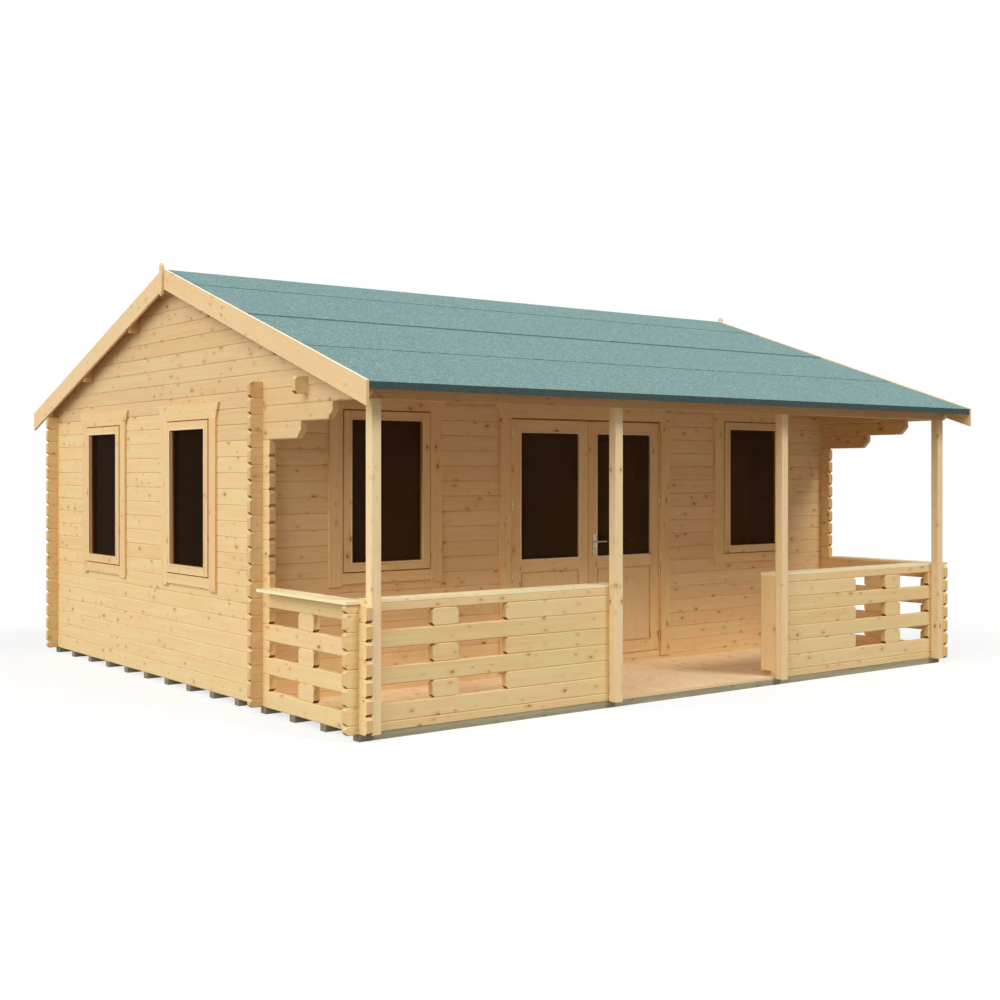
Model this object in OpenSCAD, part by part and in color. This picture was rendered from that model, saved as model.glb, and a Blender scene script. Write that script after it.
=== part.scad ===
// Log cabin with a front veranda: interlocking log walls on treated bearers, glazed double
// doors, and a felted purlin roof that the gable logs carry forward over the veranda.
// The origin is on the ground under the ridge. X runs along the ridge and the front faces -Y.

/* [Logs] */
// Thickness of a wall log
log_t = 45; // [35:1:60]
// Height of one course of logs
log_h = 113; // [105:1:125]
// Bevel along the long edges of a log
log_bevel = 6; // [2:1:9]
// Bevel across the cut ends of a log
end_bevel = 19; // [4:1:24]
// Length of the log ends that stand past a cabin corner
corner_stub = 95; // [60:5:140]
// Side courses under the windows
base_courses = 7; // [6:1:8]
// Courses between window sill and window head
window_courses = 11; // [10:1:12]

/* [Cabin] */
// Width over the outer faces of the side walls
cabin_w = 5800; // [5500:50:6500]
// Depth over the outer faces of the front and back walls
cabin_d = 4050; // [3700:50:4600]
// Depth of the veranda from the rail face to the front wall face
veranda_d = 1250; // [1100:50:1600]

/* [Floor] */
// Width of a bearer
bearer_w = 70; // [45:5:100]
// Height of a bearer
bearer_h = 45; // [35:5:95]
// Number of bearers
bearer_count = 14; // [8:1:18]
// Thickness of the floor boards
floor_t = 19; // [15:1:28]

/* [Windows] */
// Width of a glazed sash
sash_w = 725; // [600:5:800]
// Width of a sash stile
sash_stile_w = 62; // [45:1:90]
// Height of a sash rail
sash_rail_h = 62; // [45:1:90]
// Depth of a sash
sash_t = 58; // [50:1:65]
// How far a sash stands proud of the wall face
sash_proud = 24; // [10:1:30]
// Gap between a sash and the boards round it
sash_gap = 9; // [3:1:12]
// Distance of the panes behind the wall face
pane_set = 11; // [5:1:18]
// Width of the frame beside a sash
frame_side_w = 30; // [20:1:45]
// Height of the frame under a sash
frame_sill_h = 37; // [25:1:50]
// Height of the frame over a sash
frame_head_h = 66; // [40:1:90]
// Thickness of the panes
glass_t = 6; // [4:1:12]
// Depth of the rebate that holds a pane
glass_rebate = 8; // [5:1:12]
// Distance between the two windows of a side wall
side_window_pitch = 1684; // [1500:10:1900]
// Distance between the two windows of the front wall
front_window_pitch = 3830; // [3700:10:4100]

/* [Casings] */
// Width of the boards beside an opening
casing_w = 105; // [80:5:130]
// Thickness of the casing boards
casing_t = 18; // [12:1:25]
// Height of a head board
head_board_h = 115; // [90:5:140]
// How far the top of a head board flares past the boards beside it
head_flare = 48; // [0:2:60]
// Height of a sill board
sill_board_h = 75; // [50:5:100]
// Length of the side boards below the sill board
casing_foot = 18; // [5:1:40]

/* [Doors] */
// Width of a door leaf
leaf_w = 775; // [700:1:820]
// Thickness of a door leaf
leaf_t = 40; // [36:1:44]
// Gap round a door leaf
door_gap = 5; // [5:1:8]
// Gap between the leaves and the head board over them
head_gap = 14; // [8:1:20]
// Width of a door post
door_post_w = 40; // [30:1:60]
// Height of the door threshold
threshold_h = 42; // [30:1:60]
// Height of the door head
door_head_h = 89; // [60:1:120]
// Depth and width of the stop behind the leaves
door_stop = 15; // [10:1:20]
// Width of a leaf's stiles
stile_w = 94; // [85:1:125]
// Height of a leaf's top rail
top_rail_h = 100; // [80:1:130]
// Height of a leaf's lock rail
lock_rail_h = 96; // [80:1:130]
// Height of a leaf's bottom rail
bottom_rail_h = 92; // [80:1:200]
// Height of a leaf's panel
panel_h = 620; // [400:10:800]
// Width of the groove round a panel
panel_groove = 15; // [6:1:25]
// Thickness of a panel at its field
panel_field_t = 32; // [20:1:36]
// Thickness of a panel at its groove
panel_edge_t = 14; // [10:1:24]

/* [Door fittings] */
// Number of hinges on a leaf
hinge_count = 4; // [2:1:4]
// Radius of a hinge barrel
hinge_r = 7; // [6:0.5:8]
// Radius of a hinge pin
hinge_pin_r = 4; // [3:0.5:5]
// Height of each half of a hinge
hinge_h = 45; // [30:5:60]
// Height of the top and bottom hinge from the ends of the leaf
hinge_inset = 115; // [100:5:200]
// Width of a handle plate
plate_w = 40; // [30:1:50]
// Height of a handle plate
plate_h = 165; // [140:5:240]
// Thickness of a handle plate
plate_t = 6; // [3:1:10]
// Distance of a handle plate from the glass
plate_inset = 10; // [5:1:20]
// Height of the lever above the top of the lock rail
lever_rise = 117; // [60:1:200]
// Length of the lever from its spindle
lever_l = 110; // [100:5:150]
// Radius of the lever
lever_r = 8; // [6:0.5:11]
// Radius of the spindle
spindle_r = 5; // [4:0.5:6]
// How far the lever stands off its plate
lever_reach = 42; // [35:1:60]

/* [Veranda] */
// Length of the side logs past the face of the front rail
rail_stub = 85; // [75:5:120]
// Length of the solid corner of an open course, from the inner face of the crossing log
corner_block = 112; // [80:2:160]
// Length of the block in the middle of an open course
rail_block = 200; // [120:10:280]
// Length of each gap in the front rail
rail_gap = 380; // [250:10:450]
// Clear width of the entry
entry_w = 1634; // [1500:2:1700]
// Width of a square post
post_w = 70; // [60:5:80]
// Eased edges of the posts
post_arris = 4; // [1:1:8]
// Thickness of the boards that close the rail beside the entry
end_board_t = 28; // [18:1:40]
// Width of the rail caps
cap_w = 145; // [120:5:170]
// Thickness of the rail caps
cap_t = 20; // [15:1:30]
// Reach of the side caps past the face of the front rail
cap_nose = 15; // [0:1:30]
// Reach of the lower corbel log past the front wall
lower_corbel = 528; // [400:2:600]
// Reach of the upper corbel log past the front wall
upper_corbel = 934; // [700:2:1000]
// Chamfer under the end of a corbel log
corbel_chamfer = 60; // [30:2:80]
// Reach of the gable past the face of the front rail
gable_nose = 91; // [75:1:120]
// Chamfer under the nose of the gable
nose_chamfer = 40; // [20:1:60]

/* [Roof] */
// Pitch of both slopes, in degrees
roof_pitch = 18.8; // [15:0.1:24]
// Eave past the face of the front rail
front_eave = 246; // [200:2:320]
// Eave past the back wall
rear_eave = 314; // [250:2:400]
// Verge past the side walls, to the outer face of the barge boards
verge = 100; // [70:5:200]
// Thickness of the deck boards
deck_t = 19; // [15:1:25]
// Thickness of one layer of felt
felt_t = 4; // [2:0.5:6]
// Depth of the felt turned down at the eaves
felt_fold = 46; // [30:2:60]
// Reach of the ridge strip down each slope
ridge_strip = 500; // [300:10:600]
// Place of the upper lap of the felt down the slope
upper_lap = 1390; // [1100:10:1500]
// Place of the lower lap of the felt down the slope
lower_lap = 2240; // [1900:10:2400]
// Width of a barge board
barge_w = 145; // [120:5:180]
// Thickness of a barge board
barge_t = 20; // [15:1:28]
// Height of the barge boards over the deck
barge_rise = 14; // [12:1:30]
// Thickness of a purlin
purlin_t = 45; // [40:1:70]
// Height of a purlin
purlin_h = 150; // [120:5:180]
// Distance of the upper purlins from the ridge
upper_purlin = 710; // [500:10:900]
// Distance of the lower purlins from the ridge
lower_purlin = 1710; // [1600:10:1900]
// Width of a finial
finial_w = 45; // [30:5:80]
// Height of a finial
finial_h = 250; // [220:5:320]
// Thickness of a finial
finial_t = 20; // [15:1:30]
// Height of a finial over the barge boards
finial_rise = 40; // [20:5:60]

/* [Hidden] */

// Overrun of every cut past the face that it leaves
overrun = 2;
// Joint left open between roof pieces that meet under a cover
cover_gap = 2;
// Bedding gap between the deck and the sloped tops that carry it
bed_gap = 0.2;
// Radial running clearance of a pin in its barrel
pin_clearance = 0.05;
// Clearance between the two halves of a hinge
thrust_gap = 0.3;
// Free space round the spindle inside the stile
spindle_space = 4;
// Courses by which the front and back walls are set off from the side walls
half_share = 0.5;
// Part of a course that a notch takes from the top and from the bottom of a log
notch_share = 0.25;
// Smallest part of a course that counts as a course of its own
joint_share = 0.01;
// Height of a finial's point as a part of its width
point_share = 0.5;
$fn = 48;

half_h = half_share * log_h;
half_span = (front_eave + veranda_d + cabin_d + rear_eave) / 2;
y_back = half_span - rear_eave;
y_front = y_back - cabin_d;
y_rail = y_front - veranda_d;
y_tie = y_rail + veranda_d / 2;
x_wall = cabin_w / 2;
x_in = x_wall - log_t;
x_stub = x_wall + corner_stub;
x_barge = x_wall + verge - barge_t;
sill_z = base_courses * log_h;
head_z = sill_z + window_courses * log_h;
seat_z = head_z + log_h + half_h;
corbel_z = head_z - 2 * log_h;
slope = tan(roof_pitch);
plumb = 1 / cos(roof_pitch);
apex_z = seat_z + y_back * slope;

opening_w = sash_w + 2 * frame_side_w;
opening_h = window_courses * log_h;
sash_h = opening_h - frame_sill_h - frame_head_h;
pane_w = sash_w - 2 * sash_stile_w;
pane_h = sash_h - 2 * sash_rail_h;
pane_z = frame_sill_h + sash_rail_h;
side_window_ys = [for (s = [-1, 1]) (y_front + y_back + s * side_window_pitch) / 2];
front_window_xs = [for (s = [-1, 1]) s * front_window_pitch / 2];

door_half = leaf_w + door_gap + door_gap / 2;
door_half_opening = door_half + door_post_w;
door_opening_h = head_z;
leaf_z = threshold_h + door_gap;
leaf_top = door_opening_h - door_head_h - door_gap;
leaf_edge = door_gap / 2;
stop_y = leaf_t + door_gap;
door_frame_t = stop_y + door_stop;
panel_z = leaf_z + bottom_rail_h;
lock_z = panel_z + panel_h;
light_z = lock_z + lock_rail_h;
light_h = leaf_top - top_rail_h - light_z;
light_w = leaf_w - 2 * stile_w;
hinge_x = leaf_edge + leaf_w + door_gap / 2;
hinge_y = -hinge_r - thrust_gap;
casing_x = hinge_x + hinge_r + door_gap + thrust_gap;
hinge_step = (leaf_top - leaf_z - 2 * hinge_inset) / (hinge_count - 1);
spindle_x = leaf_edge + stile_w - plate_inset - plate_w / 2;
spindle_z = light_z + lever_rise;

// Height of the underside of the deck at a distance from the ridge
function under(y) = seat_z + (y_back - abs(y)) * slope;
// Heights of the joints of a stack from lo to hi, on courses set off by a share
function joints(lo, hi, shift_share) = concat([lo],
  [for (k = [ceil(lo / log_h - shift_share + joint_share)
      :1:floor(hi / log_h - shift_share - joint_share)]) (k + shift_share) * log_h], [hi]);
function backwards(list) = [for (i = [len(list) - 1:-1:0]) list[i]];
// One edge of a stack, drawn upwards, with a bevel b on every log
function stack_edge(u, b, zs) = b == 0 ? [[u, zs[0]], [u, zs[len(zs) - 1]]] : concat(
  [for (i = [0:len(zs) - 2]) each [[u + b, zs[i]], [u, zs[i] + abs(b)], [u, zs[i + 1] - abs(b)]]],
  [[u + b, zs[len(zs) - 1]]]);
function stack_outline(u0, u1, zs, b0, b1) =
  concat(stack_edge(u0, b0, zs), backwards(stack_edge(u1, -b1, zs)));
// Point of the front slope, s down the slope and n above the top of the deck
function slope_point(s, n) = [-s * cos(roof_pitch) - n * sin(roof_pitch),
  apex_z + deck_t * plumb - s * sin(roof_pitch) + n * cos(roof_pitch)];

module on_bearers() { translate([0, 0, bearer_h]) children(); }
module both_sides() {
  children();
  mirror([1, 0, 0]) children();
}
// An outline of the front slope and its mirror image on the rear slope
module both_slopes() {
  children();
  mirror([1, 0]) children();
}
// An outline in Y and Z, drawn out along X
module along_x(x0, x1) { translate([x0, 0, 0]) rotate([90, 0, 90]) linear_extrude(x1 - x0) children(); }
// An outline in X and Z, drawn out along Y
module along_y(y0, y1) { translate([0, y1, 0]) rotate([90, 0, 0]) linear_extrude(y1 - y0) children(); }

// Stacked logs that run along Y, with the bevels of their ends
module logs_along_y(x, y0, y1, zs, b0, b1) {
  intersection() {
    along_y(y0 - overrun, y1 + overrun) polygon(stack_outline(x, x + log_t, zs, log_bevel, log_bevel));
    along_x(x - overrun, x + log_t + overrun) polygon(stack_outline(y0, y1, zs, b0, b1));
  }
}
// Stacked logs that run along X, with the bevels of their ends
module logs_along_x(x0, x1, y, zs, b0, b1) {
  intersection() {
    along_x(x0 - overrun, x1 + overrun) polygon(stack_outline(y, y + log_t, zs, log_bevel, log_bevel));
    along_y(y - overrun, y + log_t + overrun) polygon(stack_outline(x0, x1, zs, b0, b1));
  }
}
// Gap in one course of a rail, between log ends that are bevelled as all log ends are
module open_course(u0, u1, z) { polygon(stack_outline(u0, u1, [z, z + log_h], -end_bevel, -end_bevel)); }
// Notches in a side wall for the logs that cross it at y
module side_notches(x, y, lo, hi) {
  for (k = [ceil(lo / log_h):1:floor(hi / log_h)])
    translate([x - overrun, y, (k - notch_share) * log_h])
      cube([log_t + 2 * overrun, log_t, 2 * notch_share * log_h]);
}
// Notches in a front, back or rail wall for the side logs that cross it at x
module cross_notches(x, y, lo, hi) {
  for (k = [floor(lo / log_h):1:floor(hi / log_h)])
    translate([x, y - overrun, (k + notch_share) * log_h])
      cube([log_t, log_t + 2 * overrun, 2 * notch_share * log_h]);
}
// Purlins through the gables to the barge boards, their tops cut to the deck
module purlin_runs() {
  half_t = purlin_t / 2;
  along_x(-x_barge, x_barge) {
    polygon([[-half_t, apex_z - purlin_h], [half_t, apex_z - purlin_h], [half_t, under(half_t)],
      [0, apex_z], [-half_t, under(half_t)]]);
    for (s = [-1, 1], p = [upper_purlin, lower_purlin])
      polygon([[s * (p - half_t), under(p) - purlin_h], [s * (p + half_t), under(p) - purlin_h],
        [s * (p + half_t), under(p + half_t)], [s * (p - half_t), under(p - half_t)]]);
  }
}
// Outline of a pair of barge boards, with plumb cuts at the ridge and at the eaves
module barge_outline(below) {
  near = cover_gap / 2;
  rise = (deck_t + barge_rise) * plumb;
  drop = rise - barge_w * plumb - below;
  both_slopes() polygon([[-near, under(near) + rise], [-half_span, under(half_span) + rise],
    [-half_span, under(half_span) + drop], [-near, under(near) + drop]]);
}
// The space under the roof deck
module roof_space() {
  along_x(-x_stub - overrun, x_stub + overrun)
    polygon([[-half_span, 0], [-half_span, under(half_span)], [0, apex_z],
      [half_span, under(half_span)], [half_span, 0]]);
}

module floor_bearers() {
  bearer_pitch = (y_back - y_rail - bearer_w) / (bearer_count - 1);
  color("#9A9A80") for (i = [0:bearer_count - 1])
    translate([-x_wall, y_rail + i * bearer_pitch, 0]) cube([cabin_w, bearer_w, bearer_h]);
}

module cabin_floor() {
  color("#E6C08C") on_bearers()
    translate([-x_in, y_front + log_t, 0]) cube([2 * x_in, cabin_d - 2 * log_t, floor_t]);
}

module veranda_floor() {
  color("#DDB27E") on_bearers() linear_extrude(floor_t)
    polygon([[-x_in, y_front], [-x_in, y_rail + log_t], [-entry_w / 2, y_rail + log_t],
      [-entry_w / 2, y_rail], [entry_w / 2, y_rail], [entry_w / 2, y_rail + log_t],
      [x_in, y_rail + log_t], [x_in, y_front]]);
}

// Courses under the windows, carried forward as the open courses of the side rail
module side_lower() {
  gap_lo = y_rail + log_t + corner_block;
  gap_hi = y_front - corner_stub;
  gap = (gap_hi - gap_lo - rail_block) / 2;
  difference() {
    logs_along_y(-x_wall, y_rail - rail_stub, y_back + corner_stub, joints(0, sill_z, 0),
      end_bevel, end_bevel);
    for (y = [y_rail, y_front, y_back - log_t]) side_notches(-x_wall, y, 0, sill_z);
    for (k = [1:2:base_courses - 2], y = [gap_lo, gap_hi - gap])
      along_x(-x_wall - overrun, -x_in + overrun) open_course(y, y + gap, k * log_h);
  }
}
module left_wall_lower_logs() { color("#F0D09B") on_bearers() side_lower(); }
module right_wall_lower_logs() { color("#F0D09B") on_bearers() mirror([1, 0, 0]) side_lower(); }

// Logs between and beside the windows of a side wall
module side_piers() {
  edges = [for (y = side_window_ys, s = [-1, 1]) y + s * opening_w / 2];
  difference() {
    union() {
      logs_along_y(-x_wall, y_front - corner_stub, edges[0], joints(sill_z, corbel_z, 0), end_bevel, 0);
      logs_along_y(-x_wall, edges[1], edges[2], joints(sill_z, head_z, 0), 0, 0);
      logs_along_y(-x_wall, edges[3], y_back + corner_stub, joints(sill_z, head_z, 0), 0, end_bevel);
    }
    side_notches(-x_wall, y_front, sill_z, corbel_z);
    side_notches(-x_wall, y_back - log_t, sill_z, head_z);
  }
}
module left_wall_pier_logs() { color("#F0D09B") on_bearers() side_piers(); }
module right_wall_pier_logs() { color("#F0D09B") on_bearers() mirror([1, 0, 0]) side_piers(); }

// The two courses over the front pier, stepped out under the gable
module corbel_logs() {
  back = side_window_ys[0] - opening_w / 2;
  reaches = [lower_corbel, upper_corbel];
  color("#EBC991") on_bearers() both_sides() difference() {
    intersection() {
      along_y(y_front - upper_corbel - overrun, back)
        polygon(stack_outline(-x_wall, -x_in, joints(corbel_z, head_z, 0), log_bevel, log_bevel));
      along_x(-x_wall - overrun, -x_in + overrun)
        polygon([[back, corbel_z],
          for (i = [0, 1]) each [[y_front - reaches[i] + corbel_chamfer, corbel_z + i * log_h],
            [y_front - reaches[i], corbel_z + i * log_h + corbel_chamfer],
            [y_front - reaches[i], corbel_z + (i + 1) * log_h]],
          [back, head_z]]);
    }
    side_notches(-x_wall, y_front, corbel_z, head_z);
  }
}

// Gable logs cut to the roof slopes, with pockets for the purlins
module gable() {
  front = y_rail - gable_nose;
  back = y_back + corner_stub;
  difference() {
    intersection() {
      along_y(front - overrun, back + overrun)
        polygon(stack_outline(-x_wall, -x_in, joints(head_z, apex_z + overrun, 0), log_bevel, log_bevel));
      along_x(-x_wall - overrun, -x_in + overrun)
        polygon([[front + nose_chamfer, head_z], [front, head_z + nose_chamfer], [front, under(front)],
          [0, apex_z], [back, under(back)], [back, head_z]]);
    }
    side_notches(-x_wall, y_front, head_z, seat_z);
    side_notches(-x_wall, y_back - log_t, head_z, head_z);
    side_notches(-x_wall, y_tie, seat_z - log_h, seat_z);
    for (y = [-lower_purlin, -upper_purlin, 0, upper_purlin, lower_purlin])
      translate([-x_wall - overrun, y - purlin_t / 2, under(y) - purlin_h])
        cube([log_t + 2 * overrun, purlin_t, 2 * purlin_h]);
  }
}
module left_gable_logs() { color("#F0D09B") on_bearers() gable(); }
module right_gable_logs() { color("#F0D09B") on_bearers() mirror([1, 0, 0]) gable(); }

module front_wall_sill_log() {
  color("#C79B66") on_bearers() difference() {
    logs_along_x(-x_stub, x_stub, y_front, joints(0, half_h, half_share), end_bevel, end_bevel);
    for (x = [-x_wall, x_in]) cross_notches(x, y_front, 0, half_h);
  }
}

// Logs beside the doorway, up to the window sills
module front_wall_lower_logs() {
  color("#C79B66") on_bearers() both_sides() difference() {
    logs_along_x(-x_stub, -door_half_opening, y_front, joints(half_h, sill_z + half_h, half_share),
      end_bevel, 0);
    cross_notches(-x_wall, y_front, half_h, sill_z + half_h);
  }
}

// Logs between the corner, the window and the doorway
module front_wall_pier_logs() {
  zs = joints(sill_z + half_h, head_z + half_h, half_share);
  edges = [for (s = [-1, 1]) front_window_xs[0] + s * opening_w / 2];
  color("#C79B66") on_bearers() both_sides() difference() {
    union() {
      logs_along_x(-x_stub, edges[0], y_front, zs, end_bevel, 0);
      logs_along_x(edges[1], -door_half_opening, y_front, zs, 0, 0);
    }
    cross_notches(-x_wall, y_front, sill_z, head_z + half_h);
  }
}

// Logs over the doors, cut to the roof and round any purlin; only the lowest runs out past the gables
module front_wall_upper_logs() {
  lo = head_z + half_h;
  color("#B98C58") on_bearers() intersection() {
    difference() {
      union() {
        logs_along_x(-x_stub, x_stub, y_front, joints(lo, seat_z, half_share), end_bevel, end_bevel);
        logs_along_x(-x_in, x_in, y_front, joints(seat_z, under(y_front + log_t) + overrun, half_share),
          0, 0);
      }
      for (x = [-x_wall, x_in]) cross_notches(x, y_front, head_z, seat_z);
      purlin_runs();
    }
    roof_space();
  }
}

// Plain back wall, its top log ends cut under the barge boards
module back_wall_logs() {
  y = y_back - log_t;
  lo = head_z + half_h;
  color("#E2BD86") on_bearers() intersection() {
    difference() {
      union() {
        logs_along_x(-x_stub, x_stub, y, joints(0, lo, half_share), end_bevel, end_bevel);
        logs_along_x(-x_in, x_in, y, joints(lo, under(y) + overrun, half_share), 0, 0);
      }
      for (x = [-x_wall, x_in]) cross_notches(x, y, 0, lo);
      both_sides() along_x(-x_stub - overrun, -x_barge) barge_outline(cover_gap);
    }
    roof_space();
  }
}

// Every window opening in turn: origin at the middle of its sill on the wall face, outwards along -Y
module at_windows() {
  for (y = side_window_ys) {
    translate([-x_wall, y, sill_z]) rotate([0, 0, -90]) children();
    translate([x_wall, y, sill_z]) rotate([0, 0, 90]) children();
  }
  for (x = front_window_xs) translate([x, y_front, sill_z + half_h]) children();
}
module at_doorway() { translate([0, y_front, half_h]) children(); }
module window_pane_at(grow) {
  translate([-pane_w / 2 - grow, pane_set, pane_z - grow])
    cube([pane_w + 2 * grow, glass_t, pane_h + 2 * grow]);
}

// Upright frame members: lining and sash stile of a window, post and stop of the doorway
module frame_posts() {
  color("#DDB57E") on_bearers() {
    at_windows() both_sides() difference() {
      union() {
        translate([sash_w / 2, 0, 0]) cube([frame_side_w, log_t, opening_h]);
        translate([pane_w / 2, -sash_proud, frame_sill_h]) cube([sash_stile_w, sash_t, sash_h]);
      }
      window_pane_at(glass_rebate);
    }
    at_doorway() both_sides() {
      translate([door_half, 0, 0]) cube([door_post_w, door_frame_t, door_opening_h]);
      translate([door_half - door_stop, stop_y, threshold_h])
        cube([door_stop, door_stop, leaf_top + door_gap - door_stop - threshold_h]);
    }
  }
}

// Level frame members: sills, heads and sash rails of the windows, threshold and head of the doorway
module frame_rails() {
  top = frame_sill_h + sash_h;
  color("#DDB57E") on_bearers() {
    at_windows() difference() {
      union() {
        translate([-sash_w / 2, 0, 0]) cube([sash_w, log_t, frame_sill_h]);
        translate([-pane_w / 2, -sash_proud, frame_sill_h]) cube([pane_w, sash_t, sash_rail_h]);
        translate([-sash_w / 2, 0, top]) cube([sash_w, log_t, frame_head_h]);
        translate([-pane_w / 2, -sash_proud, top - sash_rail_h]) cube([pane_w, sash_t, sash_rail_h]);
      }
      window_pane_at(glass_rebate);
    }
    at_doorway() {
      translate([-door_half, 0, 0]) cube([2 * door_half, door_frame_t, threshold_h]);
      translate([-door_half, 0, leaf_top + door_gap]) cube([2 * door_half, door_frame_t, door_head_h]);
      translate([-door_half, stop_y, leaf_top + door_gap - door_stop])
        cube([2 * door_half, door_stop, door_stop]);
    }
  }
}

module window_panes() { color("#2A1A10") on_bearers() at_windows() window_pane_at(glass_rebate); }

module side_casings() {
  top = frame_sill_h + sash_h + sash_gap;
  low = frame_sill_h - sash_gap - sill_board_h - casing_foot;
  color("#DDB57E") on_bearers() {
    at_windows() both_sides()
      translate([sash_w / 2 + sash_gap, -casing_t, low]) cube([casing_w, casing_t, top - low]);
    at_doorway() both_sides()
      translate([casing_x, -casing_t, 0]) cube([casing_w, casing_t, leaf_top + head_gap]);
  }
}

// A head board with its ends flared outwards
module head_board(half_w, z) {
  along_y(-casing_t, 0) polygon([[-half_w, z], [half_w, z], [half_w + head_flare, z + head_board_h],
    [-half_w - head_flare, z + head_board_h]]);
}
module head_and_sill_boards() {
  color("#DDB57E") on_bearers() {
    at_windows() {
      head_board(sash_w / 2 + sash_gap + casing_w, frame_sill_h + sash_h + sash_gap);
      translate([-sash_w / 2 - sash_gap, -casing_t, frame_sill_h - sash_gap - sill_board_h])
        cube([sash_w + 2 * sash_gap, casing_t, sill_board_h]);
    }
    at_doorway() head_board(casing_x + casing_w, leaf_top + head_gap);
  }
}

// Pieces of a half-glazed leaf, drawn as the right-hand one
module leaf_pane_at(grow) {
  translate([leaf_edge + stile_w - grow, (leaf_t - glass_t) / 2, light_z - grow])
    cube([light_w + 2 * grow, glass_t, light_h + 2 * grow]);
}
module leaf_stiles() {
  difference() {
    for (x = [leaf_edge, leaf_edge + leaf_w - stile_w])
      translate([x, 0, leaf_z]) cube([stile_w, leaf_t, leaf_top - leaf_z]);
    leaf_pane_at(glass_rebate);
  }
}
module leaf_rails() {
  difference() {
    for (r = [[leaf_z, bottom_rail_h], [lock_z, lock_rail_h], [leaf_top - top_rail_h, top_rail_h]])
      translate([leaf_edge + stile_w, 0, r[0]]) cube([light_w, leaf_t, r[1]]);
    leaf_pane_at(glass_rebate);
  }
}
module leaf_panel() {
  translate([leaf_edge + stile_w, (leaf_t - panel_edge_t) / 2, panel_z])
    cube([light_w, panel_edge_t, panel_h]);
  translate([leaf_edge + stile_w + panel_groove, (leaf_t - panel_field_t) / 2, panel_z + panel_groove])
    cube([light_w - 2 * panel_groove, panel_field_t, panel_h - 2 * panel_groove]);
}
module at_hinges() {
  for (i = [0:hinge_count - 1])
    translate([hinge_x, hinge_y, leaf_z + hinge_inset + i * hinge_step]) children();
}
// Upper half of each hinge: a bored barrel with a tab on the face of the leaf
module leaf_hinges() {
  tab_w = hinge_r + 2 * door_gap;
  at_hinges() difference() {
    union() {
      translate([0, 0, thrust_gap]) cylinder(r = hinge_r, h = hinge_h);
      translate([-tab_w, 0, thrust_gap + hinge_r]) cube([tab_w, -hinge_y, hinge_h - 2 * hinge_r]);
    }
    translate([0, 0, thrust_gap - overrun]) cylinder(r = hinge_pin_r + pin_clearance, h = hinge_h);
  }
}
// Lower half of each hinge: a barrel and pin with a tab on the face of the post
module post_hinges() {
  tab_w = hinge_r + door_gap / 2;
  at_hinges() {
    translate([0, 0, -hinge_h]) cylinder(r = hinge_r, h = hinge_h);
    cylinder(r = hinge_pin_r, h = hinge_h - 2 * overrun);
    translate([0, 0, hinge_r - hinge_h]) cube([tab_w, -hinge_y, hinge_h - 2 * hinge_r]);
  }
}
module spindle_bore(r) {
  translate([spindle_x, -lever_reach, spindle_z]) rotate([-90, 0, 0])
    cylinder(r = r, h = leaf_t + 2 * lever_reach);
}

module left_door_stiles() { color("#D2A871") on_bearers() at_doorway() mirror([1, 0, 0]) leaf_stiles(); }
module left_door_rails() { color("#D2A871") on_bearers() at_doorway() mirror([1, 0, 0]) leaf_rails(); }
module left_door_panel() { color("#CBA06A") on_bearers() at_doorway() mirror([1, 0, 0]) leaf_panel(); }
module left_door_pane() {
  color("#2A1A10") on_bearers() at_doorway() mirror([1, 0, 0]) leaf_pane_at(glass_rebate);
}
module left_door_hinges() { color("#B9AA92") on_bearers() at_doorway() mirror([1, 0, 0]) leaf_hinges(); }
module right_door_stiles() {
  color("#D2A871") on_bearers() at_doorway() difference() {
    leaf_stiles();
    spindle_bore(spindle_r + spindle_space);
  }
}
module right_door_rails() { color("#D2A871") on_bearers() at_doorway() leaf_rails(); }
module right_door_panel() { color("#CBA06A") on_bearers() at_doorway() leaf_panel(); }
module right_door_pane() { color("#2A1A10") on_bearers() at_doorway() leaf_pane_at(glass_rebate); }
module right_door_hinges() { color("#B9AA92") on_bearers() at_doorway() leaf_hinges(); }
module frame_hinges() { color("#B9AA92") on_bearers() at_doorway() both_sides() post_hinges(); }

// Back plates on both faces of the right-hand leaf
module handle_plates() {
  rise = plate_h - plate_w - plate_w / 2;
  color("#C9CCCE") on_bearers() at_doorway() difference() {
    for (y = [-plate_t, leaf_t]) translate([spindle_x - plate_w / 2, y, spindle_z - rise])
      cube([plate_w, plate_t, plate_h]);
    spindle_bore(spindle_r + pin_clearance);
  }
}
// Lever on each face, joined by the spindle through the stile
module door_lever() {
  off = lever_reach - lever_r;
  color("#C9CCCE") on_bearers() at_doorway() {
    translate([spindle_x, -off, spindle_z]) rotate([-90, 0, 0])
      cylinder(r = spindle_r, h = leaf_t + 2 * off);
    for (y = [-off, leaf_t + off]) translate([spindle_x, y, spindle_z]) {
      sphere(r = lever_r);
      rotate([0, 90, 0]) cylinder(r = lever_r, h = lever_l);
      translate([lever_l, 0, 0]) sphere(r = lever_r);
    }
  }
}

module veranda_posts() {
  far = post_w - post_arris;
  color("#EBCB95") on_bearers() both_sides() for (x = [-x_in, -entry_w / 2 - post_w])
    translate([x, y_rail - post_w, 0]) linear_extrude(head_z)
      polygon([[post_arris, 0], [far, 0], [post_w, post_arris], [post_w, far], [far, post_w],
        [post_arris, post_w], [0, far], [0, post_arris]]);
}

// Beam on the posts, its top cut to the slope of the deck
module veranda_beam() {
  color("#C99C66") on_bearers() along_x(-x_in, x_in) polygon([[y_rail - post_w, head_z], [y_rail, head_z],
    [y_rail, under(y_rail)], [y_rail - post_w, under(y_rail - post_w)]]);
}

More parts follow.
